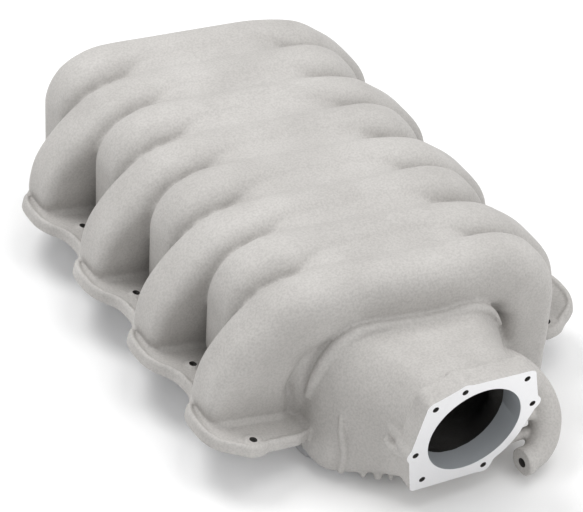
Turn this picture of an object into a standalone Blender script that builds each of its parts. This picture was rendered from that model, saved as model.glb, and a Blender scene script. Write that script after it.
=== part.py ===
"""Intake manifold of a V8 engine: a hollow aluminium casting with eight crossing runners.

Metres, +Z up, +X to the right seen from the throttle end, throttle opening towards -Y.
The runners of one bank start on the far side of the plenum, pass over its roof and come down to
their own cylinder head.  The plenum is closed from below by a screwed floor plate.
"""
import math

import bmesh
import bpy
from mathutils import Matrix, Vector

MM = 0.001
WELD = 0.02 * MM                         # points closer than this are one point

# Driving dimensions, in millimetres.
PORT_PITCH = 111.76                      # cylinder bore spacing, 4.40 in
RIDGE_PITCH = PORT_PITCH / 2             # one runner ridge per half pitch
BANK_OFFSET = 24.0                       # right bank sits this much further back
PORT_WALL = 6.0                          # casting wall round a port
WALL = 5.0                               # casting wall of the rest of a runner
LEFT_PORTS = [202.0 - PORT_PITCH * i for i in range(4)]
RIGHT_PORTS = [y + BANK_OFFSET for y in LEFT_PORTS]
BANKS = (("left", -1, LEFT_PORTS), ("right", 1, RIGHT_PORTS))

RUNNER_Z = 140.0                         # centre height of the level part of a runner
ROOF_FALL = 3.5                          # the rearmost runner lies this much lower
LOBE_X = 115.0                           # centre of a runner where it rises from the plenum
BEND_R = 38.0                            # bend from the rising part to the level part
LOBE_BASE = 54.0                         # underside of that rising part
SKEW = (RIDGE_PITCH - BANK_OFFSET) / (2 * LOBE_X)

FACE_X, FACE_Z = 145.0, 38.0             # port centre on the cylinder-head face
FACE_TILT = math.radians(12.0)           # head faces rise outwards
FLANGE_THICK = 10.0
PORT_HALF = (29.0, 15.0)                 # across the engine, along the engine
BOLT_OUT = 16.0                          # flange bolt, outwards from the port centre
BOLT_AHEAD = 49.0                        # and in front of it
FLANGE_BOLT_R = 3.6

COVER_THICK = 8.0
GASKET_THICK = 1.0
BODY_BASE = COVER_THICK + GASKET_THICK
PLENUM_HALF = 106.0                      # outer half width of the plenum
PLENUM_TOP = 113.0
PLENUM_REAR = 250.0
PLENUM_FRONT = -180.0
GAP = 0.3                                # clearance between separate parts

THROTTLE_C = Vector((0.0, -281.0, 80.0))  # centre of the throttle face
THROTTLE_TILT = math.radians(6.0)        # the face looks slightly downwards
BORE_R = 46.0                            # 92 mm throttle bore
THROTTLE_PLATE = 20.0
TAP_R = 3.0
THROTTLE_HOLES = [(-45.5, 43.0), (45.5, 43.0), (-45.5, -43.0),
                  (-18.0, 52.3), (57.3, 8.1), (18.0, -52.3), (-57.3, -8.1)]
EAR_LENGTHS = (24.0, 24.0, 24.0, 42.0)   # of the last four holes

SCREW_X = 90.0
SCREW_SPOTS = [(side * SCREW_X, 232.0 - 96.5 * i) for side in (-1, 1) for i in range(5)]
SCREW_SPOTS += [(0.0, 238.0), (0.0, -172.0)]
SCREW_HEAD_R = 6.0
SCREW_SHANK_R = 2.6
SCREW_LENGTH = 24.0


def collection(name):
    group = bpy.data.collections.new(name)
    bpy.context.scene.collection.children.link(group)
    return group


def material(name, color, metallic, roughness):
    mat = bpy.data.materials.new(name)
    mat.use_nodes = True
    shader = mat.node_tree.nodes["Principled BSDF"]
    shader.inputs["Base Color"].default_value = (*color, 1.0)
    shader.inputs["Metallic"].default_value = metallic
    shader.inputs["Roughness"].default_value = roughness
    return mat


def place(name, data, matrix=None):
    """Link a working shape to the tools collection."""
    obj = bpy.data.objects.new(name, data)
    TOOLS.objects.link(obj)
    obj.hide_render = True
    obj.display_type = "WIRE"
    if matrix is not None:
        obj.matrix_world = matrix
    return obj


def solid(name, shape):
    """Object from a bmesh, welded, in triangles that face outwards."""
    bmesh.ops.remove_doubles(shape, verts=shape.verts, dist=WELD)
    bmesh.ops.triangulate(shape, faces=shape.faces)
    bmesh.ops.recalc_face_normals(shape, faces=shape.faces)
    mesh = bpy.data.meshes.new(name)
    shape.to_mesh(mesh)
    shape.free()
    return place(name, mesh)


def as_solid(obj):
    """Turn a curve or a mesh with modifiers into a closed mesh object in world space."""
    bpy.context.view_layer.update()
    graph = bpy.context.evaluated_depsgraph_get()
    mesh = bpy.data.meshes.new_from_object(obj.evaluated_get(graph))
    shape = bmesh.new()
    shape.from_mesh(mesh)
    shape.transform(obj.matrix_world)
    name = obj.name
    bpy.data.objects.remove(obj, do_unlink=True)
    return solid(name, shape)


def combine(obj, others, operation):
    """Boolean the other solids into obj, one after another."""
    for other in others:
        step = obj.modifiers.new("step", "BOOLEAN")
        step.operation = operation
        step.solver = "EXACT"
        step.object = other
        graph = bpy.context.evaluated_depsgraph_get()
        result = bpy.data.meshes.new_from_object(obj.evaluated_get(graph))
        obj.modifiers.clear()
        obj.data = result
    return obj


def add(obj, others):
    return combine(obj, others, "UNION")


def cut(obj, others):
    return combine(obj, others, "DIFFERENCE")


def slab(name, outlines, low, high, frame=Matrix.Identity(4)):
    """Flat plate: a filled 2D curve in the frame's XY plane, extruded from low to high."""
    curve = bpy.data.curves.new(name, "CURVE")
    curve.dimensions = "2D"
    curve.fill_mode = "BOTH"
    curve.extrude = (high - low) / 2 * MM
    for outline in outlines:
        spline = curve.splines.new("POLY")
        spline.points.add(len(outline) - 1)
        for point, (a, b) in zip(spline.points, outline):
            point.co = (a * MM, b * MM, 0.0, 1.0)
        spline.use_cyclic_u = True
    lift = Matrix.Translation((0.0, 0.0, (low + high) / 2 * MM))
    return as_solid(place(name, curve, frame @ lift))


def rod(name, centre, axis, radius, length, sides=16):
    """Round bar from centre along axis."""
    axis = Vector(axis).normalized()
    middle = (Vector(centre) + axis * length / 2) * MM
    frame = Matrix.Translation(middle) @ axis.to_track_quat("Z", "Y").to_matrix().to_4x4()
    shape = bmesh.new()
    bmesh.ops.create_cone(shape, cap_ends=True, segments=sides, radius1=radius * MM,
                          radius2=radius * MM, depth=length * MM, matrix=frame)
    return solid(name, shape)


def turned(name, x, y, profile, sides=12):
    """Upright turned piece: a (radius, height) profile, top to bottom, with a Screw modifier."""
    shape = bmesh.new()
    points = [shape.verts.new((radius * MM, 0.0, height * MM)) for radius, height in profile]
    for first, second in zip(points, points[1:]):
        shape.edges.new((first, second))
    mesh = bpy.data.meshes.new(name)
    shape.to_mesh(mesh)
    shape.free()
    obj = place(name, mesh, Matrix.Translation((x * MM, y * MM, 0.0)))
    lathe = obj.modifiers.new("lathe", "SCREW")
    lathe.steps = sides
    lathe.render_steps = sides
    lathe.use_merge_vertices = True
    lathe.merge_threshold = WELD
    return as_solid(obj)


def bent_tube(name, knots, bevel_resolution):
    """Round tube along (x, y, z, radius) knots, with filled ends."""
    widest = max(knot[3] for knot in knots)
    curve = bpy.data.curves.new(name, "CURVE")
    curve.dimensions = "3D"
    curve.bevel_depth = widest * MM
    curve.bevel_resolution = bevel_resolution
    curve.use_fill_caps = True
    spline = curve.splines.new("POLY")
    spline.points.add(len(knots) - 1)
    for point, (x, y, z, radius) in zip(spline.points, knots):
        point.co = (x * MM, y * MM, z * MM, 1.0)
        point.radius = radius / widest
    return as_solid(place(name, curve))


def loft(name, rings):
    """Skin over closed rings that all have the same number of points, with flat ends."""
    shape = bmesh.new()
    loops = [[shape.verts.new(Vector(p) * MM) for p in ring] for ring in rings]
    shape.faces.new(loops[0])
    shape.faces.new(loops[-1])
    for lower, upper in zip(loops, loops[1:]):
        for i, corner in enumerate(lower):
            shape.faces.new((lower[i - 1], corner, upper[i], upper[i - 1]))
    return solid(name, shape)


def rounded(half_a, half_b, radius, steps, low_radius=None):
    """Rounded rectangle about the origin, as (a, b) pairs; low_radius is for the two -b corners."""
    loop = []
    for corner in range(4):
        sa = (1, -1, -1, 1)[corner]
        sb = (1, 1, -1, -1)[corner]
        r = radius if sb > 0 or low_radius is None else low_radius
        for k in range(steps):
            angle = math.radians(90.0 * (corner + k / (steps - 1)))
            loop.append((sa * (half_a - r) + r * math.cos(angle),
                         sb * (half_b - r) + r * math.sin(angle)))
    return loop


def room(y_rear, y_front, half, radius, steps=4):
    """Rounded rectangle seen from above, as (x, y) pairs."""
    middle = (y_rear + y_front) / 2
    return [(a, b + middle) for a, b in rounded(half, (y_rear - y_front) / 2, radius, steps)]


# Outside of a runner from its foot to its rising part: centre x and z, heading in degrees,
# half height, half width, corner radius.
FOOT_STATIONS = [
    (146.0, 42.0, 102.0, 39.5, 21.5, 13.0),
    (146.0, 59.5, 102.0, 40.0, 22.0, 13.0),
    (143.5, 82.0, 112.0, 37.0, 23.5, 14.0),
    (132.4, 100.4, 128.0, 35.0, 25.5, 16.0),
    (118.5, 116.0, 145.0, 33.0, 27.0, 19.0),
    (100.0, 130.3, 158.0, 32.0, 27.7, 22.0),
    (66.0, 139.0, 172.0, 31.0, 28.0, 24.0),
    (30.0, RUNNER_Z, 180.0, 31.0, 28.2, 24.0),
    (BEND_R - LOBE_X, RUNNER_Z, 180.0, 31.0, 28.2, 24.0),
]
BEND_STATIONS = [(24.0, 31.5, 22.0), (46.0, 32.5, 20.0), (68.0, 29.5, 17.0), (90.0, 26.0, 14.0)]


def runner_stations():
    """All outside stations of a runner: the foot, the level part, the bend and the lobe."""
    stations = list(FOOT_STATIONS)
    for turn, half, radius in BEND_STATIONS:
        bend = math.radians(turn)
        stations.append((BEND_R - LOBE_X - BEND_R * math.sin(bend),
                         RUNNER_Z - BEND_R + BEND_R * math.cos(bend),
                         180.0 + turn, half, 27.5, radius))
    stations.append((-LOBE_X, LOBE_BASE, 270.0, 26.0, 26.5, 13.0))
    return stations


def passage_stations():
    """The air passage: the port's own size at the head face, then one wall inside the outside."""
    up = Vector((-math.sin(FACE_TILT), math.cos(FACE_TILT)))
    stations = []
    for lift in (-4.0, 22.0):
        stations.append((FACE_X + up.x * lift, FACE_Z + up.y * lift, 102.0, *PORT_HALF, 11.0))
    for x, z, heading, high, wide, radius in runner_stations()[2:]:
        wall = PORT_WALL if x > LOBE_X else WALL
        stations.append((x, z, heading, high - wall, wide - wall, radius - wall / 2))
    x, z, heading, high, wide, radius = stations[-1]
    stations[-1] = (x, z + 2 * WALL, heading, high, wide, radius)
    return stations


def runner(name, y_port, foot, stations):
    """Swept tube of one runner; foot is the side of its port."""
    fall = ROOF_FALL * (y_port - LEFT_PORTS[-1]) / (RIGHT_PORTS[0] - LEFT_PORTS[-1])
    rings = []
    for x, z, heading, half_high, half_wide, radius in stations:
        turn = math.radians(heading)
        normal = Vector((math.sin(turn), 0.0, -math.cos(turn)))
        ring = []
        for a, b in rounded(half_high, half_wide, radius, 4):
            spot = Vector((x, 0.0, z)) + normal * a
            sag = fall * min(1.0, max(0.0, (spot.z - LOBE_BASE) / (RUNNER_Z - LOBE_BASE)))
            reach = max(-LOBE_X, min(LOBE_X, x))
            along = y_port - SKEW * foot * (reach - LOBE_X)
            ring.append((foot * spot.x, along + b, spot.z - sag))
        rings.append(ring)
    return loft(name, rings)


def roof_web():
    """Solid that fills the valleys between runners to just under their crests."""
    half = [(104.0, 106.3), (100.0, 128.0), (90.0, 144.0), (76.0, 157.0), (60.0, 162.0), (34.0, 164.3)]
    arch = half + [(-x, z) for x, z in reversed(half)]
    upright = Matrix.Rotation(math.radians(90.0), 4, "X")
    return slab("roof_web", [arch], -240.0, 150.0, upright)


def face_frame(side, y):
    """Frame on the tilted head face: X outwards, Y along the engine, Z into the casting."""
    across = Vector((side * math.cos(FACE_TILT), 0.0, math.sin(FACE_TILT)))
    inward = Vector((-side * math.sin(FACE_TILT), 0.0, math.cos(FACE_TILT)))
    frame = Matrix((across, (0.0, 1.0, 0.0), inward)).transposed().to_4x4()
    frame.translation = Vector((side * FACE_X, y, FACE_Z)) * MM
    return frame


def flange_outline(ports):
    """Scalloped outline of a port flange as (out from the port centre, y)."""
    line = [(-48.0, ports[0] + 40.0), (8.0, ports[0] + 40.0)]
    for index, y in enumerate(ports):
        line += [(34.0, y + 24.0), (43.0, y + 17.0), (51.0, y + 9.0), (55.4, y),
                 (56.2, y - 14.0), (55.0, y - 29.0), (50.0, y - 41.0)]
        if index < len(ports) - 1:
            line += [(41.0, y - 51.5), (36.0, y - 60.0), (34.5, y - 76.0)]
    front = ports[-1]
    line += [(42.0, front - 47.5), (31.0, front - 53.5), (21.0, front - 59.5), (11.0, front - 59.5),
             (3.0, front - 56.0), (-30.0, front - 53.0), (-48.0, front - 44.0)]
    return line


def port_ring(name, side, y, inner, outer, low, high):
    """Band round one port, between two offsets from it and two depths into the face."""
    loops = [rounded(PORT_HALF[0] + offset, PORT_HALF[1] + offset, 11.0 + offset, 4)
             for offset in (outer, inner)]
    return slab(name, loops, low, high, face_frame(side, y))


def duct(name, stations, steps):
    """Loft along Y: (y, low half width, top half width, bottom, top, low radius, top radius)."""
    rings = []
    for y, low_half, top_half, bottom, top, low_radius, top_radius in stations:
        middle, height = (top + bottom) / 2, top - bottom
        ring = []
        for a, b in rounded(low_half, height / 2, top_radius, steps, low_radius):
            lean = 1.0 + (top_half / low_half - 1.0) * (b / height + 0.5)
            ring.append((a * lean, y, middle + b))
        rings.append(ring)
    return loft(name, rings)


def throttle_frame():
    """Frame on the throttle face: X right, Y up the face, Z into the manifold."""
    up = Vector((0.0, -math.sin(THROTTLE_TILT), math.cos(THROTTLE_TILT)))
    inward = Vector((0.0, math.cos(THROTTLE_TILT), math.sin(THROTTLE_TILT)))
    frame = Matrix(((1.0, 0.0, 0.0), up, inward)).transposed().to_4x4()
    frame.translation = THROTTLE_C * MM
    return frame


def on_throttle(a, b, depth):
    return throttle_frame() @ (Vector((a, b, depth)) * MM) / MM


def arc(centre, radius, start, end, steps):
    turns = [math.radians(start + (end - start) * k / steps) for k in range(steps + 1)]
    return [(centre[0] + radius * math.cos(t), centre[1] + radius * math.sin(t)) for t in turns]


def throttle_outline():
    """Square flange with four ears and the lower right corner cut back to the bore."""
    top_left, top_right = THROTTLE_HOLES[0], THROTTLE_HOLES[1]
    top_ear, right_ear, low_ear, left_ear = THROTTLE_HOLES[3:]
    line = arc(top_right, 9.0, 0.0, 90.0, 3)
    line += arc(top_ear, 8.5, 60.0, 120.0, 2)
    line += arc(top_left, 9.0, 90.0, 180.0, 3)
    line += arc(left_ear, 8.5, 140.0, 220.0, 3)
    line += arc((-49.5, -47.5), 8.0, 180.0, 270.0, 3)
    line += arc(low_ear, 8.5, 250.0, 330.0, 3)
    line += arc((0.0, 0.0), 56.0, 300.0, 340.0, 5)
    line += arc(right_ear, 8.5, 300.0, 420.0, 4)
    return line


def inlet_hood():
    """Outside of the inlet, from the front of the plenum to the throttle flange."""
    return duct("hood", [(-150.0, 104.0, 80.0, BODY_BASE + 1.5, 124.0, 10.0, 34.0),
                         (-198.0, 105.0, 81.0, BODY_BASE + 1.5, 126.0, 11.0, 36.0),
                         (-211.0, 97.0, 76.0, BODY_BASE + 1.5, 127.0, 14.0, 38.0),
                         (-232.0, 75.0, 67.0, 12.0, 129.0, 24.0, 38.0),
                         (-248.0, 64.0, 61.0, 17.0, 131.0, 24.0, 34.0),
                         (-266.0, 57.0, 56.0, 26.0, 132.0, 20.0, 28.0)], 5)


def outer_shell():
    """Everything the casting is on the outside, still solid."""
    shell = slab("manifold_casting", [room(PLENUM_REAR, PLENUM_FRONT, PLENUM_HALF, 14.0)],
                 BODY_BASE, PLENUM_TOP)
    add(shell, [inlet_hood(), slab("plate", [throttle_outline()], 0.0, THROTTLE_PLATE,
                                   throttle_frame())])
    inward = on_throttle(0, 0, 1) - on_throttle(0, 0, 0)
    for (a, b), length in zip(THROTTLE_HOLES[3:], EAR_LENGTHS):
        add(shell, [rod("ear", on_throttle(a * 0.97, b * 0.97, 2.0), inward, 8.0, length, 12)])
    add(shell, [bent_tube("vacuum_arm", [(56.0, -210.0, 82.0, 15.0), (75.0, -224.0, 76.0, 15.5),
                                         (88.0, -240.0, 62.0, 15.5), (92.5, -255.0, 44.0, 15.0),
                                         (86.0, -268.0, 27.0, 14.0), (73.0, -276.5, 18.0, 13.0),
                                         (56.0, -281.0, 16.0, 12.0)], 2)])
    add(shell, [rod("strut", (50.0, -268.0, 58.0), (36.0, 4.0, -16.0), 5.0, 38.0, 8)])
    for name, side, ports in BANKS:
        add(shell, [slab("flange", [flange_outline(ports)], 0.0, FLANGE_THICK, face_frame(side, 0.0))])
    add(shell, [slab("skirt", [[(90.0, -190.5), (133.0, -190.5), (139.6, -183.5), (139.6, -173.4),
                                (90.0, -173.4)]], 22.0, 71.3)])
    add(shell, [roof_web()])
    for name, side, ports in BANKS:
        add(shell, [runner("run", y, side, runner_stations()) for y in ports])
    return shell


def hollow(shell):
    """Cut the plenum, the inlet, the runner passages and every hole."""
    rear, front = PLENUM_REAR - 8.0, -158.0
    low_room = slab("low_room", [room(rear, front, 94.0, 10.0)], 0.0, 52.0)
    top_room = slab("top_room", [room(rear - 2.0, front + 2.0, 99.5, 12.0)], 48.0, 102.0)
    inlet = duct("inlet", [(-150.0, 90.0, 90.0, 20.0, 98.0, 20.0, 20.0),
                           (-190.0, 86.0, 82.0, 20.0, 112.0, 20.0, 28.0),
                           (-222.0, 66.0, 62.0, 24.0, 122.0, 28.0, 36.0),
                           (-256.0, 46.5, 46.5, 36.0, 129.0, 46.0, 46.0)], 6)
    inward = on_throttle(0, 0, 1) - on_throttle(0, 0, 0)
    bore = rod("bore", on_throttle(0, 0, -5.0), inward, BORE_R, 38.0, 48)
    cut(shell, [low_room, top_room, inlet, bore])
    add(shell, [rod("pillar", (x, y, BODY_BASE + 1.0), (0, 0, 1), 8.5, 30.0, 12)
                for x, y in SCREW_SPOTS])
    for name, side, ports in BANKS:
        cut(shell, [runner("passage", y, side, passage_stations()) for y in ports])
    cut(shell, [rod("tap", on_throttle(a, b, -2.0), inward, TAP_R, 20.0, 12)
                for a, b in THROTTLE_HOLES])
    cut(shell, [rod("mouth", (40.0, -283.5, 16.0), (1.0, 0.15, 0.0), 4.0, 38.0, 12)])
    for name, side, ports in BANKS:
        for y in ports:
            frame = face_frame(side, y - BOLT_AHEAD)
            low = frame @ (Vector((BOLT_OUT, 0.0, -5.0)) * MM) / MM
            up = frame.to_3x3() @ Vector((0.0, 0.0, 1.0))
            cut(shell, [port_ring("groove", side, y, 2.8, 6.2, -1.0, 3.2),
                        rod("bolt", low, up, FLANGE_BOLT_R, 22.0, 12)])
    cut(shell, [rod("tap", (x, y, 0.0), (0, 0, 1), SCREW_SHANK_R + GAP, 28.0, 10)
                for x, y in SCREW_SPOTS])
    return shell


def floor_outline(inset):
    """Outline of the plenum floor, inset from its own edge."""
    return room(PLENUM_REAR - 1.5 - inset, PLENUM_FRONT + 1.5 + inset, PLENUM_HALF - 6.0 - inset, 12.0)


def floor_plate():
    """Flat plate with countersunk screw holes."""
    plate = slab("plenum_floor", [floor_outline(0.0)], 0.0, COVER_THICK)
    profile = [(0.0, 12.0), (SCREW_SHANK_R + GAP, 12.0), (SCREW_SHANK_R + GAP, 4.5),
               (SCREW_HEAD_R + GAP, 1.1), (SCREW_HEAD_R + GAP, -1.0), (0.0, -1.0)]
    return cut(plate, [turned("sink", x, y, profile) for x, y in SCREW_SPOTS])


def floor_gasket():
    """Thin gasket round the plenum opening."""
    ring = slab("floor_gasket", [floor_outline(1.0), floor_outline(18.0)],
                COVER_THICK + 0.05, BODY_BASE - 0.05)
    return cut(ring, [rod("hole", (x, y, 0.0), (0, 0, 1), SCREW_SHANK_R + GAP, 12.0, 10)
                      for x, y in SCREW_SPOTS])


def floor_screw(x, y):
    """Countersunk hexagon-socket screw, head flush with the underside of the floor."""
    profile = [(0.0, SCREW_LENGTH), (SCREW_SHANK_R, SCREW_LENGTH), (SCREW_SHANK_R, 4.2),
               (SCREW_HEAD_R, 0.8), (SCREW_HEAD_R, 0.2), (0.0, 0.2)]
    socket = rod("socket", (x, y, -1.0), (0, 0, 1), 2.3, 3.4, 6)
    return cut(turned("screw", x, y, profile), [socket])


def keep(obj, name, mat):
    """Publish a finished solid as one named part."""
    obj.name = name
    obj.data.name = name
    obj.hide_render = False
    obj.display_type = "TEXTURED"
    TOOLS.objects.unlink(obj)
    PARTS.objects.link(obj)
    obj.data.materials.clear()
    obj.data.materials.append(mat)
    obj.data.polygons.foreach_set("material_index", [0] * len(obj.data.polygons))
    obj.data.shade_smooth()
    obj.data.set_sharp_from_angle(angle=math.radians(30.0))


for old in list(bpy.data.objects):
    bpy.data.objects.remove(old, do_unlink=True)
PARTS = collection("intake_manifold")
TOOLS = collection("tools")

cast = material("cast_aluminium", (0.58, 0.57, 0.56), 0.7, 0.55)
plate_alloy = material("plate_aluminium", (0.66, 0.66, 0.67), 0.9, 0.35)
rubber = material("seal_rubber", (0.02, 0.02, 0.02), 0.0, 0.7)
fibre = material("gasket_fibre", (0.10, 0.11, 0.12), 0.0, 0.8)
steel = material("zinc_steel", (0.45, 0.45, 0.44), 1.0, 0.35)

keep(hollow(outer_shell()), "manifold_casting", cast)
keep(floor_plate(), "plenum_floor", plate_alloy)
keep(floor_gasket(), "floor_gasket", fibre)
for number, (spot_x, spot_y) in enumerate(SCREW_SPOTS, 1):
    keep(floor_screw(spot_x, spot_y), f"floor_screw_{number:02d}", steel)
for bank, bank_side, bank_ports in BANKS:
    for number, port_y in enumerate(reversed(bank_ports), 1):
        seal = port_ring("seal", bank_side, port_y, 3.2, 5.8, -0.7, 2.9)
        keep(seal, f"{bank}_port_seal_{number}", rubber)
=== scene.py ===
"""Intake manifold: the finished look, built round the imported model."""
import math

import bmesh
import bpy
import numpy as np
from mathutils import Matrix, Vector


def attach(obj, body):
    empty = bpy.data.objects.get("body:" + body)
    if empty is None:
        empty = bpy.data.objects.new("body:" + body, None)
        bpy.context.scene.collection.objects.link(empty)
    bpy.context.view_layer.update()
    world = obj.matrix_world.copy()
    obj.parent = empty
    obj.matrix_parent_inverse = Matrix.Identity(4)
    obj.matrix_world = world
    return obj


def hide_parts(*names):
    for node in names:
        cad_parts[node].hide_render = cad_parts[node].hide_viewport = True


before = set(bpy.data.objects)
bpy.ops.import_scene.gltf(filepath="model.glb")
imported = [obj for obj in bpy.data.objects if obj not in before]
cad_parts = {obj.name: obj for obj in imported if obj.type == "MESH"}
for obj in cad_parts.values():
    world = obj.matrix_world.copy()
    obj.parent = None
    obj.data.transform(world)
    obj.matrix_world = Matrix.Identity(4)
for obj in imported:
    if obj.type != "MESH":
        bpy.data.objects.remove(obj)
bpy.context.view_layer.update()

MM = 0.001

# The casting's driving dimensions, in millimetres, in the frame's own axes.
PORT_PITCH = 111.76
RIDGE_PITCH = PORT_PITCH / 2
BANK_OFFSET = 24.0
PORT_WALL = 6.0
WALL = 5.0
LEFT_PORTS = [202.0 - PORT_PITCH * i for i in range(4)]
RIGHT_PORTS = [y + BANK_OFFSET for y in LEFT_PORTS]
BANKS = ((-1, LEFT_PORTS), (1, RIGHT_PORTS))
RUNNER_Z = 140.0
ROOF_FALL = 3.5
LOBE_X = 115.0
BEND_R = 38.0
LOBE_BASE = 54.0
SKEW = (RIDGE_PITCH - BANK_OFFSET) / (2 * LOBE_X)
FACE_X, FACE_Z = 145.0, 38.0
FACE_TILT = math.radians(12.0)
FLANGE_THICK = 10.0
PORT_HALF = (29.0, 15.0)
BOLT_OUT = 16.0
BOLT_AHEAD = 49.0
BODY_BASE = 9.0
PLENUM_HALF = 106.0
PLENUM_TOP = 113.0
PLENUM_REAR = 250.0
PLENUM_FRONT = -160.0
THROTTLE_C = Vector((0.0, -281.0, 80.0))
THROTTLE_TILT = math.radians(6.0)
THROTTLE_UP = Vector((0.0, -math.sin(THROTTLE_TILT), math.cos(THROTTLE_TILT)))
THROTTLE_IN = Vector((0.0, math.cos(THROTTLE_TILT), math.sin(THROTTLE_TILT)))
BORE_R = 46.0
THROTTLE_PLATE = 20.0
THROTTLE_HOLES = [(-45.5, 43.0), (45.5, 43.0), (-45.5, -43.0),
                  (-18.0, 52.3), (57.3, 8.1), (18.0, -52.3), (-57.3, -8.1)]
EAR_LENGTHS = (22.0, 22.0, 22.0, 40.0)
SCREW_X = 90.0
SCREW_SPOTS = [(side * SCREW_X, 232.0 - 96.5 * i) for side in (-1, 1) for i in range(5)]
SCREW_SPOTS += [(0.0, 238.0), (0.0, -172.0)]

LEVEL_HALF = (30.7, 28.0)        # half height and half width of a runner's level part
LEVEL_RADIUS = 24.0
BEND_HALF_WIDE = 27.4
WEB_ENDS = ((-150.0, 0.0), (240.0, ROOF_FALL))   # y and drop of the roof web's two ends
BOLT_HOLE_R = 3.6
TAP_R = 3.0
SCREW_HOLE_R = 2.9
PILLAR_R = 8.5
MOUTH_R = 4.5

# Voxel size and smoothing passes of each fusing.
MASS_VOXEL, MASS_PASSES = 2.0 * MM, 8
FINE_VOXEL, FINE_PASSES = 1.45 * MM, 1
AIR_VOXEL, AIR_PASSES = 3.0 * MM, 3
SHARP_ANGLE = math.radians(35.0)

# Studio, in metres and watts: name, place, what it aims at, width and height, power.
LAMPS = (("key", (-0.5, 0.9, 2.0), (0.0, 0.0, 0.08), (1.0, 0.8), 20.0),
         ("top", (0.6, -0.2, 2.2), (0.0, 0.0, 0.08), (1.6, 1.2), 14.0),
         ("front", (0.7, -2.1, 1.1), (0.0, -0.1, 0.08), (1.2, 0.9), 9.0))
WORLD_LIGHT = 0.72
FLOOR_SIZE = 12.0
FLOOR_DROP = 0.0005

# The fourth slot holds painted shade for the passages and holes inside the skin.
AS_CAST, MACHINED, BORED, PAINTED_SHADE = range(4)      # the skin's material slots


# ---------------------------------------------------------------- mesh helpers

def build(name, points, faces, scale=MM):
    mesh = bpy.data.meshes.new(name)
    mesh.from_pydata([Vector(p) * scale for p in points], [], faces)
    shape = bmesh.new()
    shape.from_mesh(mesh)
    bmesh.ops.triangulate(shape, faces=[f for f in shape.faces if len(f.verts) > 4])
    bmesh.ops.recalc_face_normals(shape, faces=shape.faces)
    shape.to_mesh(mesh)
    shape.free()
    obj = bpy.data.objects.new(name, mesh)
    bpy.context.scene.collection.objects.link(obj)
    return obj


def loft(name, rings):
    """Skin over closed rings with equal point counts, capped flat at both ends."""
    count = len(rings[0])
    points = [p for ring in rings for p in ring]
    faces = [list(range(count)), list(range(len(points) - count, len(points)))]
    for k in range(len(rings) - 1):
        for i in range(count):
            j = (i + 1) % count
            faces.append([k * count + i, k * count + j, (k + 1) * count + j, (k + 1) * count + i])
    return build(name, points, faces)


def join(name, objects):
    """Put several solids in one mesh without joining their surfaces."""
    shape = bmesh.new()
    for obj in objects:
        obj.data.transform(obj.matrix_world)
        shape.from_mesh(obj.data)
        bpy.data.objects.remove(obj, do_unlink=True)
    mesh = bpy.data.meshes.new(name)
    shape.to_mesh(mesh)
    shape.free()
    whole = bpy.data.objects.new(name, mesh)
    bpy.context.scene.collection.objects.link(whole)
    return whole


def applied(obj):
    """Replace the object's mesh by what its modifiers make of it."""
    graph = bpy.context.evaluated_depsgraph_get()
    mesh = bpy.data.meshes.new_from_object(obj.evaluated_get(graph))
    obj.modifiers.clear()
    obj.data = mesh
    return obj


def fuse(obj, voxel, passes):
    """Melt overlapping solids into one skin and soften its creases, as a sand core would."""
    melt = obj.modifiers.new("melt", "REMESH")
    melt.mode = "VOXEL"
    melt.voxel_size = voxel
    soft = obj.modifiers.new("soft", "SMOOTH")
    soft.factor = 0.5
    soft.iterations = passes
    return applied(obj)


def paint(obj, slot):
    """Give every face of a solid one of the skin's material slots."""
    obj.data.materials.clear()
    for n in range(4):
        obj.data.materials.append(None)
    obj.data.polygons.foreach_set("material_index", [slot] * len(obj.data.polygons))
    return obj


def cut(obj, cutter):
    step = obj.modifiers.new("cut", "BOOLEAN")
    step.operation = "DIFFERENCE"
    step.solver = "MANIFOLD"
    step.object = cutter
    applied(obj)
    bpy.data.objects.remove(cutter, do_unlink=True)
    return obj


def spline(knots, steps):
    """Points on a Catmull-Rom curve through the knots, steps to a span."""
    line = []
    for k in range(len(knots) - 1):
        a = np.array(knots[max(k - 1, 0)], float)
        b = np.array(knots[k], float)
        c = np.array(knots[k + 1], float)
        d = np.array(knots[min(k + 2, len(knots) - 1)], float)
        for n in range(steps):
            t = n / steps
            line.append(0.5 * (2 * b + (c - a) * t + (2 * a - 5 * b + 4 * c - d) * t ** 2
                               + (3 * b - a - 3 * c + d) * t ** 3))
    line.append(np.array(knots[-1], float))
    return line


def rounded(half_a, half_b, radius, steps, low_radius=None):
    """Rounded rectangle about the origin, as (a, b) pairs; low_radius is for the two -b corners."""
    loop = []
    for corner in range(4):
        sa = (1, -1, -1, 1)[corner]
        sb = (1, 1, -1, -1)[corner]
        r = radius if sb > 0 or low_radius is None else low_radius
        for k in range(steps):
            angle = math.radians(90.0 * (corner + k / (steps - 1)))
            loop.append((sa * (half_a - r) + r * math.cos(angle),
                         sb * (half_b - r) + r * math.sin(angle)))
    return loop


def cylinder(name, centre, axis, radius, length, sides=32, end_radius=None):
    end_radius = radius if end_radius is None else end_radius
    axis = Vector(axis).normalized()
    side = axis.orthogonal().normalized()
    other = axis.cross(side)
    rings = []
    for shift, r in ((0.0, radius), (length, end_radius)):
        base = Vector(centre) + axis * shift
        rings.append([base + r * (math.cos(t) * side + math.sin(t) * other)
                      for t in [2 * math.pi * k / sides for k in range(sides)]])
    return loft(name, rings)


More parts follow.
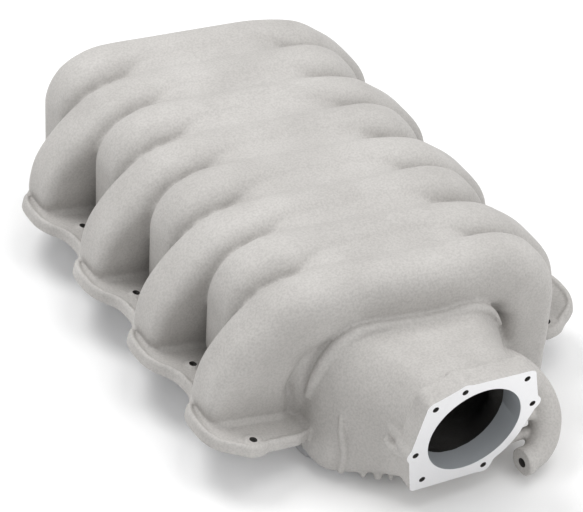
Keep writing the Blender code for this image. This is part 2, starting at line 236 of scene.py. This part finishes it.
def tube(name, knots, sides=24, steps=6):
    """Round bar along a curve; each knot is (x, y, z, radius)."""
    line = spline(knots, steps)
    rings = []
    side = None
    for k, knot in enumerate(line):
        ahead = Vector(line[min(k + 1, len(line) - 1)][:3])
        behind = Vector(line[max(k - 1, 0)][:3])
        heading = (ahead - behind).normalized()
        side = heading.orthogonal() if side is None else side
        side = (side - heading * side.dot(heading)).normalized()
        other = heading.cross(side)
        rings.append([Vector(knot[:3]) + (math.cos(t) * side + math.sin(t) * other) * float(knot[3])
                      for t in [2 * math.pi * n / sides for n in range(sides)]])
    return loft(name, rings)


# ---------------------------------------------------------------- the casting

# Outside of a runner from its foot to its rising part: centre x and z, heading in degrees,
# half height, half width, corner radius.
FOOT_STATIONS = [
    (146.0, 42.0, 102.0, 39.5, 21.5, 10.0),
    (146.0, 59.5, 102.0, 40.0, 22.0, 10.0),
    (143.5, 82.0, 112.0, 37.0, 23.5, 12.0),
    (132.4, 100.4, 128.0, 35.0, 25.5, 16.0),
    (118.5, 116.0, 145.0, 33.0, 27.0, 19.0),
    (100.0, 130.3, 158.0, 32.0, 27.7, 22.0),
    (66.0, 139.0, 172.0, LEVEL_HALF[0], 27.9, LEVEL_RADIUS),
    (30.0, RUNNER_Z, 180.0, *LEVEL_HALF, LEVEL_RADIUS),
    (-30.0, RUNNER_Z, 180.0, *LEVEL_HALF, LEVEL_RADIUS),
    (BEND_R - LOBE_X, RUNNER_Z, 180.0, *LEVEL_HALF, LEVEL_RADIUS),
]
BEND_STATIONS = [(24.0, 31.5, 22.0), (46.0, 32.5, 20.0), (68.0, 29.5, 17.0), (90.0, 26.0, 14.0)]


def runner_stations():
    """All outside stations of a runner: the foot, the level part, the bend and the lobe."""
    stations = list(FOOT_STATIONS)
    for turn, half, radius in BEND_STATIONS:
        bend = math.radians(turn)
        stations.append((BEND_R - LOBE_X - BEND_R * math.sin(bend),
                         RUNNER_Z - BEND_R + BEND_R * math.cos(bend),
                         180.0 + turn, half, BEND_HALF_WIDE, radius))
    stations.append((-LOBE_X, LOBE_BASE, 270.0, 26.0, 26.5, 13.0))
    return stations


def passage_stations():
    """The air passage: the port's own size at the head face, then one wall inside the outside."""
    up = Vector((-math.sin(FACE_TILT), math.cos(FACE_TILT)))
    stations = []
    for lift in (-4.0, 22.0):
        stations.append((FACE_X + up.x * lift, FACE_Z + up.y * lift, 102.0, *PORT_HALF, 11.0))
    for x, z, heading, high, wide, radius in runner_stations()[2:]:
        wall = PORT_WALL if x > LOBE_X else WALL
        stations.append((x, z, heading, high - wall, wide - wall, radius - wall / 2))
    x, z, heading, high, wide, radius = stations[-1]
    stations[-1] = (x, z + 2 * WALL, heading, high, wide, radius)
    return stations


def runner(name, y_port, foot, stations, steps):
    """Swept tube of one runner; foot is the side of its port."""
    fall = ROOF_FALL * (y_port - LEFT_PORTS[-1]) / (RIGHT_PORTS[0] - LEFT_PORTS[-1])
    rings = []
    for x, z, heading, half_high, half_wide, radius in spline(stations, steps):
        turn = math.radians(heading)
        normal = Vector((math.sin(turn), 0.0, -math.cos(turn)))
        ring = []
        for a, b in rounded(half_high, half_wide, radius, 9):
            spot = Vector((x, 0.0, z)) + normal * a
            sag = fall * min(1.0, max(0.0, (spot.z - LOBE_BASE) / (RUNNER_Z - LOBE_BASE)))
            reach = max(-LOBE_X, min(LOBE_X, x))
            along = y_port - SKEW * foot * (reach - LOBE_X)
            ring.append((foot * spot.x, along + b, spot.z - sag))
        rings.append(ring)
    return loft(name, rings)


def roof_web():
    """Fill of the valleys between runners; it comes closest to the crests on the centre line."""
    half = spline([(104.0, 106.0), (100.0, 126.0), (91.0, 142.0), (78.0, 155.0), (62.0, 163.5),
                   (40.0, 166.6), (0.0, 167.4)], 4)
    arch = [tuple(p) for p in half] + [(-x, z) for x, z in half[-2::-1]]
    return loft("roof_web", [[(x, y, z - drop) for x, z in arch]
                             for y, drop in WEB_ENDS])


def face_height(u):
    return FACE_Z + (u - FACE_X) * math.tan(FACE_TILT)


def on_face(side, y, a, b, depth):
    """Point on the tilted port face: a across, b along the engine, depth into the casting."""
    across = Vector((math.cos(FACE_TILT), 0.0, math.sin(FACE_TILT)))
    inward = Vector((-math.sin(FACE_TILT), 0.0, math.cos(FACE_TILT)))
    spot = Vector((FACE_X, 0.0, FACE_Z)) + across * a + inward * depth
    return Vector((side * spot.x, y + b, spot.z))


def flange_outline(ports):
    """Scalloped outline of a port flange, smooth, as (out from the port centre, y)."""
    knots = [(33.0, ports[0] + 29.0)]
    for index, y in enumerate(ports):
        knots += [(43.0, y + 17.0), (51.0, y + 9.0), (55.0, y - 2.0),
                  (55.6, y - 16.0), (54.3, y - 30.0), (49.0, y - 42.0)]
        if index < len(ports) - 1:
            knots += [(41.0, y - 51.5), (36.5, y - 61.0), (34.8, y - 74.0), (36.0, y - 84.0)]
    front = ports[-1]
    knots += [(41.0, front - 49.0), (32.0, front - 54.0), (23.0, front - 60.0),
              (11.0, front - 60.5), (2.0, front - 56.5)]
    edge = [tuple(p) for p in spline(knots, 5)]
    return ([(-48.0, ports[0] + 40.0), (8.0, ports[0] + 40.0)] + edge
            + [(-30.0, front - 54.0), (-48.0, front - 45.0)])


def shrunk(line, inset):
    """A closed outline moved inwards along its own normals."""
    points = [np.array(p) for p in line]
    moved = []
    for k, p in enumerate(points):
        tangent = points[(k + 1) % len(points)] - points[k - 1]
        normal = np.array((tangent[1], -tangent[0])) / max(np.linalg.norm(tangent), 1e-6)
        moved.append(p - normal * inset)
    area = sum(a[0] * b[1] - a[1] * b[0] for a, b in zip(points, points[1:] + points[:1]))
    if area < 0:
        moved = [2 * p - m for p, m in zip(points, moved)]
    return [tuple(p) for p in moved]


def flange_parts(side, ports):
    """Port flange: a plate with a raised, rounded rim that runs round its outer edge."""
    line = flange_outline(ports)

    def level(inset, depth):
        return [on_face(side, 0.0, a, b, depth) for a, b in shrunk(line, inset)]

    plate = loft("flange", [level(0.0, -2.0), level(0.0, 6.6), level(1.6, 8.0)])
    loops = [level(0.2, 3.0), level(0.2, 8.4), level(1.8, FLANGE_THICK + 0.6),
             level(4.4, FLANGE_THICK + 0.6), level(6.4, 7.0), level(6.0, 3.0)]
    return [plate, closed_band("rim", loops)]


def closed_band(name, loops):
    """Closed band whose cross-section runs through the given loops, first to last and back."""
    count = len(loops[0])
    faces = []
    for k in range(len(loops)):
        m = (k + 1) % len(loops)
        for i in range(count):
            j = (i + 1) % count
            faces.append([k * count + i, k * count + j, m * count + j, m * count + i])
    return build(name, [p for loop in loops for p in loop], faces)


def face_prism(name, side, y, centre, half_a, half_b, radius, low, high):
    """Rounded block standing square on the port face."""
    pairs = rounded(half_a, half_b, radius, 8)
    return loft(name, [[on_face(side, y, centre + a, b, depth) for a, b in pairs]
                       for depth in (low, high)])


def port_band(name, side, y, inner, outer, low, high):
    """Band round one port between two offsets and two depths."""
    def loop(offset, depth):
        pairs = rounded(PORT_HALF[0] + offset, PORT_HALF[1] + offset, 11.0 + offset, 8)
        return [on_face(side, y, a, b, depth) for a, b in pairs]
    return closed_band(name, [loop(outer, low), loop(inner, low), loop(inner, high),
                              loop(outer, high)])


def duct(name, knots, corner_steps, steps=6):
    """Loft along Y: (y, low half width, top half width, bottom, top, low radius, top radius)."""
    rings = []
    for y, low_half, top_half, bottom, top, low_radius, top_radius in spline(knots, steps):
        middle, height = (top + bottom) / 2, top - bottom
        ring = []
        for a, b in rounded(low_half, height / 2, top_radius, corner_steps, low_radius):
            lean = 1.0 + (top_half / low_half - 1.0) * (b / height + 0.5)
            ring.append((a * lean, y, middle + b))
        rings.append(ring)
    return loft(name, rings)


def on_throttle(a, b, depth):
    """Point on the tilted throttle face; depth runs into the manifold."""
    return THROTTLE_C + Vector((a, 0.0, 0.0)) + THROTTLE_UP * b + THROTTLE_IN * depth


def arc(centre, radius, start, end, steps):
    turns = [math.radians(start + (end - start) * k / steps) for k in range(steps + 1)]
    return [(centre[0] + radius * math.cos(t), centre[1] + radius * math.sin(t)) for t in turns]


def throttle_outline():
    """Square flange with four ears and the lower right corner cut back to the bore."""
    top_left, top_right = THROTTLE_HOLES[0], THROTTLE_HOLES[1]
    top_ear, right_ear, low_ear, left_ear = THROTTLE_HOLES[3:]
    line = arc((top_right[0] + 1.0, top_right[1] + 1.0), 8.0, 0.0, 90.0, 8)
    line += arc(top_ear, 8.5, 50.0, 130.0, 8)
    line += arc(top_left, 9.0, 90.0, 180.0, 8)
    line += arc(left_ear, 8.5, 130.0, 230.0, 8)
    line += arc((-51.0, -48.5), 6.0, 180.0, 270.0, 8)
    line += arc(low_ear, 8.5, 240.0, 330.0, 8)
    line += arc((0.0, 0.0), 56.0, 300.0, 340.0, 10)
    line += arc(right_ear, 8.5, 300.0, 420.0, 8)
    return line


def throttle_prism(name, outline, low, high):
    return loft(name, [[on_throttle(a, b, depth) for a, b in outline] for depth in (low, high)])


def front_wall(x):
    """Where the front wall of the foremost runner stands at x."""
    return LEFT_PORTS[-1] - SKEW * (x + LOBE_X) - FOOT_STATIONS[-1][4]


def hood_bead():
    """Raised bead on the front wall along the top of the inlet hood."""
    knots = [(-97.0, 62.0, 2.0), (-93.0, 80.0, 4.0), (-86.0, 98.0, 5.4), (-76.0, 113.0, 6.2),
             (-62.0, 123.5, 6.6), (-46.0, 127.5, 6.4), (-14.0, 125.0, 5.8), (24.0, 123.5, 5.8),
             (42.0, 126.0, 6.2), (56.0, 126.0, 5.8), (67.0, 120.5, 4.4), (76.0, 111.0, 3.0),
             (84.0, 97.0, 1.6)]
    return tube("bead", [(x, front_wall(x) + 2.0 - r, z, r) for x, z, r in knots], 20, 5)


def main_masses():
    """The big forms of the casting, melted together with generous fillets."""
    block = rounded(PLENUM_HALF, (PLENUM_REAR - PLENUM_FRONT) / 2, 14.0, 6)
    middle = (PLENUM_REAR + PLENUM_FRONT) / 2
    parts = [loft("block", [[(a, b + middle, z) for a, b in block]
                            for z in (BODY_BASE - 5.0, PLENUM_TOP)]),
             duct("hood", [(-150.0, 104.0, 84.0, 8.0, 124.0, 10.0, 34.0),
                           (-172.0, 105.0, 82.0, 8.0, 125.0, 10.0, 36.0),
                           (-190.0, 105.0, 73.0, 8.0, 125.5, 10.0, 40.0),
                           (-204.0, 102.0, 66.0, 8.0, 126.0, 12.0, 42.0),
                           (-216.0, 90.0, 63.0, 8.5, 127.0, 16.0, 42.0),
                           (-232.0, 75.0, 60.0, 12.0, 129.0, 24.0, 40.0),
                           (-248.0, 64.0, 58.0, 17.0, 131.0, 24.0, 36.0),
                           (-266.0, 57.0, 56.0, 26.0, 132.0, 20.0, 28.0)], 9),
             loft("skirt", [[(90.0, -191.0, z), (132.0, -191.0, z), (140.5, -183.0, z),
                             (140.5, -173.0, z), (90.0, -173.0, z)] for z in (22.0, 74.0)]),
             roof_web()]
    for side, ports in BANKS:
        parts += [runner("run", y, side, runner_stations(), 5) for y in ports]
    return fuse(join("casting", parts), MASS_VOXEL, MASS_PASSES)


def fine_forms():
    """Flanges, rims, bosses, ribs, the throttle flange and the vacuum stub."""
    parts = [throttle_prism("plate", throttle_outline(), -2.0, THROTTLE_PLATE), hood_bead()]
    for (a, b), length in zip(THROTTLE_HOLES[3:], EAR_LENGTHS):
        parts.append(cylinder("ear", on_throttle(a * 0.97, b * 0.97, 2.0), THROTTLE_IN, 8.0, length))
    parts.append(tube("stub", [(56.0, -210.0, 82.0, 15.0), (75.0, -224.0, 76.0, 15.5),
                               (88.0, -240.0, 62.0, 15.5), (92.5, -255.0, 44.0, 15.0),
                               (86.0, -267.0, 28.0, 14.0), (74.0, -275.0, 20.0, 12.5),
                               (62.0, -278.0, 18.0, 11.5)]))
    parts.append(cylinder("stub_lip", (64.0, -277.8, 17.5), (-1.0, -0.1, 0.0), 13.0, 7.0))
    parts.append(cylinder("strut", (46.0, -260.0, 62.0), (40.0, 4.0, -18.0), 6.0, 42.0, 24, 5.0))
    parts.append(cylinder("strut", (38.0, -262.0, 34.0), (40.0, 4.0, -4.0), 5.0, 44.0, 24))
    parts.append(tube("seam_rib", [(94.0, -236.0, 76.0, 1.2), (98.0, -250.0, 58.0, 1.6),
                                   (93.0, -264.0, 40.0, 1.6), (82.0, -274.0, 30.0, 1.2)], 10))
    parts.append(tube("gusset", [(-85.0, -203.0, 66.0, 1.6), (-87.0, -210.0, 52.0, 3.6),
                                 (-86.0, -215.5, 32.0, 3.8), (-89.0, -215.0, 13.0, 3.2)], 16))
    parts.append(tube("rib", [(-66.0, -244.0, 66.0, 2.0), (-63.0, -254.0, 62.0, 4.5),
                              (-58.0, -264.0, 66.0, 6.0), (-56.0, -270.0, 70.0, 6.5)], 16))
    for x, y, size in ((-71.0, -225.5, 3.2), (-60.0, -233.0, 4.4), (-51.0, -239.0, 2.8)):
        parts.append(cylinder("lug", (x, y + 2.0, 9.0), (0.0, -0.3, 1.0), size, 6.0, 20, size * 0.6))
    for side, ports in BANKS:
        parts += flange_parts(side, ports)
        up = on_face(side, 0, 0, 0, 1) - on_face(side, 0, 0, 0, 0)
        for y in ports:
            parts.append(face_prism("pad", side, y, 1.5, 41.0, 24.5, 16.0, 2.0, FLANGE_THICK))
            boss = 9.5 if y == ports[-1] else 6.5
            parts.append(cylinder("boss", on_face(side, y - BOLT_AHEAD, BOLT_OUT, 0.0, 2.0),
                                  up, boss, 8.2, 32, boss - 1.5))
    return parts


def air_space():
    """Everything that is hollow inside: plenum, inlet and runner passages."""
    rear, front = PLENUM_REAR - 8.0, -146.0
    middle, half = (rear + front) / 2, (rear - front) / 2
    lower = rounded(94.0, half, 10.0, 5)
    upper = rounded(99.5, half - 2.0, 12.0, 5)
    parts = [loft("low", [[(a, b + middle, z) for a, b in lower] for z in (-6.0, 52.0)]),
             loft("top", [[(a, b + middle, z) for a, b in upper] for z in (48.0, 102.0)]),
             duct("inlet", [(-140.0, 90.0, 74.0, 20.0, 98.0, 20.0, 34.0),
                            (-190.0, 84.0, 58.0, 20.0, 110.0, 20.0, 40.0),
                            (-222.0, 60.0, 46.0, 26.0, 114.0, 28.0, 40.0),
                            (-256.0, 46.5, 46.5, 36.0, 129.0, 46.0, 46.0)], 8)]
    for side, ports in BANKS:
        parts += [runner("passage", y, side, passage_stations(), 4) for y in ports]
    space = fuse(join("air_space", parts), AIR_VOXEL, AIR_PASSES)
    pillars = [cylinder("pillar", (x, y, -8.0), (0, 0, 1), PILLAR_R, 48.0) for x, y in SCREW_SPOTS]
    # The air space's skin takes the inside slot, painted near-black as shade in the passages.
    return paint(cut(space, join("pillars", pillars)), PAINTED_SHADE)


def machining():
    """Slabs and drills in the order a machine shop would use them."""
    flange_face = [(-72, -62), (40, -62), (62, -24), (72, -12), (72, 66), (-72, 66)]
    deck = [(-120.0, -262.0), (120.0, -262.0), (120.0, 265.0), (-120.0, 265.0)]
    slabs = [throttle_prism("face", flange_face, -12.0, 0.0),
             loft("deck", [[(x, y, z) for x, y in deck] for z in (-9.0, BODY_BASE)])]
    for side, ports in BANKS:
        corners = ((107.5, ports[0] + 60.0), (206.0, ports[0] + 60.0),
                   (206.0, ports[-1] - 62.6), (107.5, ports[-1] - 62.6))
        slabs.append(loft("head", [[(side * u, y, face_height(u) + low) for u, y in corners]
                                   for low in (-16.0, 0.0)]))
    bore = cylinder("bore", on_throttle(0, 0, -5.0), THROTTLE_IN, BORE_R, 38.0, 128)
    drills = [cylinder("tap", on_throttle(a, b, -2.0), THROTTLE_IN, TAP_R, 20.0)
              for a, b in THROTTLE_HOLES]
    drills.append(cylinder("mouth", (40.0, -281.5, 17.5), (1.0, 0.15, 0.0), MOUTH_R, 38.0))
    drills += [cylinder("tap", (x, y, 0.0), (0, 0, 1), SCREW_HOLE_R, 28.0) for x, y in SCREW_SPOTS]
    grooves = []
    for side, ports in BANKS:
        up = on_face(side, 0, 0, 0, 1) - on_face(side, 0, 0, 0, 0)
        for y in ports:
            low = on_face(side, y - BOLT_AHEAD, BOLT_OUT, 0.0, -5.0)
            drills.append(cylinder("bolt", low, up, BOLT_HOLE_R, 30.0))
            grooves.append(port_band("groove", side, y, 2.8, 6.2, -1.0, 3.2))
    # The drills take the inside slot too: their holes are painted near-black as shade.
    return [paint(join("slabs", slabs), MACHINED), paint(bore, BORED),
            paint(join("drills", drills), PAINTED_SHADE), paint(join("grooves", grooves), MACHINED)]


def casting():
    shell = main_masses()
    shell = paint(fuse(join("manifold_skin", [shell] + fine_forms()), FINE_VOXEL, FINE_PASSES), AS_CAST)
    cut(shell, air_space())
    for tool in machining():
        cut(shell, tool)
    return shell


# ---------------------------------------------------------------- materials

def shader(name, **settings):
    mat = bpy.data.materials.new(name)
    mat.use_nodes = True
    bsdf = mat.node_tree.nodes["Principled BSDF"]
    for key, value in settings.items():
        bsdf.inputs[key.replace("_", " ")].default_value = value
    return mat, mat.node_tree, bsdf


def texture(tree, kind, scale, detail, coords):
    node = tree.nodes.new(kind)
    node.inputs["Scale"].default_value = scale
    if "Detail" in node.inputs:
        node.inputs["Detail"].default_value = detail
    tree.links.new(coords, node.inputs["Vector"])
    return node


def ramp(tree, source, stops):
    node = tree.nodes.new("ShaderNodeValToRGB")
    elements = node.color_ramp.elements
    while len(elements) < len(stops):
        elements.new(0.5)
    for element, (position, color) in zip(elements, stops):
        element.position = position
        element.color = (*color, 1.0)
    tree.links.new(source, node.inputs["Fac"])
    return node


def bump(tree, source, strength, distance, under=None):
    node = tree.nodes.new("ShaderNodeBump")
    node.inputs["Strength"].default_value = strength
    node.inputs["Distance"].default_value = distance
    tree.links.new(source, node.inputs["Height"])
    if under is not None:
        tree.links.new(under.outputs["Normal"], node.inputs["Normal"])
    return node


def cast_material(name, low, high, roughness):
    """Sand-cast aluminium: blotchy grey with a dull, sandy grain and shallow pits; given near-black
    tones it paints shade on the inside skin.
    """
    mat, tree, bsdf = shader(name, Metallic=0.12, Roughness=roughness)
    coords = tree.nodes.new("ShaderNodeTexCoord").outputs["Object"]
    clouds = texture(tree, "ShaderNodeTexNoise", 16.0, 6.0, coords)
    tone = ramp(tree, clouds.outputs["Fac"], [(0.36, low), (0.64, high)])
    grain = texture(tree, "ShaderNodeTexNoise", 520.0, 4.0, coords)
    speck = ramp(tree, grain.outputs["Fac"], [(0.36, (0.87, 0.87, 0.87)), (0.60, (1.0, 1.0, 1.0))])
    mix = tree.nodes.new("ShaderNodeMix")
    mix.data_type = "RGBA"
    mix.blend_type = "MULTIPLY"
    mix.inputs["Factor"].default_value = 1.0
    tree.links.new(tone.outputs["Color"], mix.inputs["A"])
    tree.links.new(speck.outputs["Color"], mix.inputs["B"])
    tree.links.new(mix.outputs["Result"], bsdf.inputs["Base Color"])
    sand = texture(tree, "ShaderNodeTexNoise", 620.0, 3.0, coords)
    fine = bump(tree, sand.outputs["Fac"], 0.35, 0.0007)
    pits = texture(tree, "ShaderNodeTexVoronoi", 330.0, 0.0, coords)
    pitted = ramp(tree, pits.outputs["Distance"], [(0.0, (0.0, 0.0, 0.0)), (0.30, (1.0, 1.0, 1.0))])
    coarse = bump(tree, pitted.outputs["Color"], 0.18, 0.0008, fine)
    waves = texture(tree, "ShaderNodeTexNoise", 60.0, 3.0, coords)
    broad = bump(tree, waves.outputs["Fac"], 0.35, 0.003, coarse)
    tree.links.new(broad.outputs["Normal"], bsdf.inputs["Normal"])
    return mat


def milled_material(name, color, roughness, metal):
    """Machined face with fine cutter lines."""
    mat, tree, bsdf = shader(name, Base_Color=(*color, 1.0), Metallic=metal, Roughness=roughness)
    coords = tree.nodes.new("ShaderNodeTexCoord").outputs["Object"]
    lines = texture(tree, "ShaderNodeTexWave", 500.0, 2.0, coords)
    lines.inputs["Distortion"].default_value = 1.5
    marks = bump(tree, lines.outputs["Fac"], 0.12, 0.0001)
    tree.links.new(marks.outputs["Normal"], bsdf.inputs["Normal"])
    return mat


# ---------------------------------------------------------------- pieces

def finish_piece(piece, name, node, materials):
    piece.name = name
    piece.data.name = name
    while len(piece.data.materials) < len(materials):
        piece.data.materials.append(None)
    for n, mat in enumerate(materials):
        piece.data.materials[n] = mat
    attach(piece, "root")
    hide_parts(node)


def shade(mesh):
    mesh.shade_smooth()
    mesh.set_sharp_from_angle(angle=SHARP_ANGLE)


def add_casting():
    skin = casting()
    cast = cast_material("cast_aluminium_skin", (0.455, 0.440, 0.423), (0.515, 0.500, 0.482), 0.72)
    # The inside material's near-black tones are painted shade for the air passages and drilled holes,
    # not a darker metal.
    inside = cast_material("painted_shade_inside", (0.05, 0.047, 0.044), (0.10, 0.095, 0.09), 0.7)
    milled = milled_material("milled_face", (0.80, 0.80, 0.81), 0.34, 0.75)
    bored = milled_material("bored_wall", (0.62, 0.65, 0.68), 0.30, 0.45)
    finish_piece(skin, "manifold_skin", "manifold_casting",
                 [cast, milled, bored, inside])
    shade(skin.data)


def dress_nodes():
    """Give the carried-over parts their own finished materials."""
    plate = milled_material("plate_alloy", (0.62, 0.62, 0.63), 0.35, 0.9)
    steel = milled_material("zinc_plated_steel", (0.55, 0.55, 0.52), 0.32, 0.9)
    rubber, _, _ = shader("moulded_rubber", Base_Color=(0.018, 0.018, 0.018, 1.0),
                                Roughness=0.6)
    fibre, _, _ = shader("gasket_sheet", Base_Color=(0.07, 0.075, 0.08, 1.0), Roughness=0.85)
    for name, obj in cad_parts.items():
        if name == "plenum_floor":
            mat = plate
        elif name.startswith("floor_screw"):
            mat = steel
        elif "seal" in name:
            mat = rubber
        elif name == "floor_gasket":
            mat = fibre
        else:
            continue
        for slot in obj.material_slots:
            slot.material = mat


# ---------------------------------------------------------------- stage

def stage():
    bpy.ops.mesh.primitive_plane_add(size=FLOOR_SIZE, location=(0.0, 0.0, -FLOOR_DROP))
    floor = bpy.context.object
    floor.name = "floor"
    mat, _, _ = shader("pale_floor", Base_Color=(0.90, 0.90, 0.90, 1.0), Roughness=0.9)
    floor.data.materials.append(mat)


def lamp(name, spot, target, size, power):
    light = bpy.data.lights.new(name, "AREA")
    light.shape = "RECTANGLE"
    light.size, light.size_y = size
    light.energy = power
    obj = bpy.data.objects.new(name, light)
    obj.location = spot
    obj.rotation_euler = (Vector(target) - Vector(spot)).to_track_quat("-Z", "Y").to_euler()
    bpy.context.scene.collection.objects.link(obj)


def studio():
    world = bpy.data.worlds.new("studio")
    world.use_nodes = True
    back = world.node_tree.nodes["Background"]
    back.inputs["Color"].default_value = (1.0, 1.0, 1.0, 1.0)
    back.inputs["Strength"].default_value = WORLD_LIGHT
    bpy.context.scene.world = world
    bpy.context.scene.view_settings.view_transform = "Standard"
    for name, spot, target, size, power in LAMPS:
        lamp(name, spot, target, size, power)


def camera():
    """Long lens from the front left, 38 degrees up, rolled a few degrees."""
    turn, rise, roll = math.radians(-31.4), math.radians(37.7), math.radians(3.6)
    distance, aside, above = 2.5815, -0.0814, 0.1007
    aim = Vector((0.0, 0.202, 0.055))
    right = Vector((math.cos(turn), math.sin(turn), 0.0))
    ahead = Vector((-math.sin(turn) * math.cos(rise), math.cos(turn) * math.cos(rise),
                    -math.sin(rise)))
    up = right.cross(ahead)
    tilted_right = math.cos(roll) * right + math.sin(roll) * up
    tilted_up = math.cos(roll) * up - math.sin(roll) * right
    spot = aim - (aside * tilted_right + above * tilted_up + distance * ahead)
    data = bpy.data.cameras.new("camera")
    data.sensor_width = 36.0
    data.lens = 163.2
    data.clip_start = 0.05
    obj = bpy.data.objects.new("camera", data)
    obj.matrix_world = Matrix((
        (tilted_right.x, tilted_up.x, -ahead.x, spot.x),
        (tilted_right.y, tilted_up.y, -ahead.y, spot.y),
        (tilted_right.z, tilted_up.z, -ahead.z, spot.z),
        (0.0, 0.0, 0.0, 1.0)))
    bpy.context.scene.collection.objects.link(obj)
    bpy.context.scene.camera = obj


add_casting()
dress_nodes()
stage()
studio()
camera()
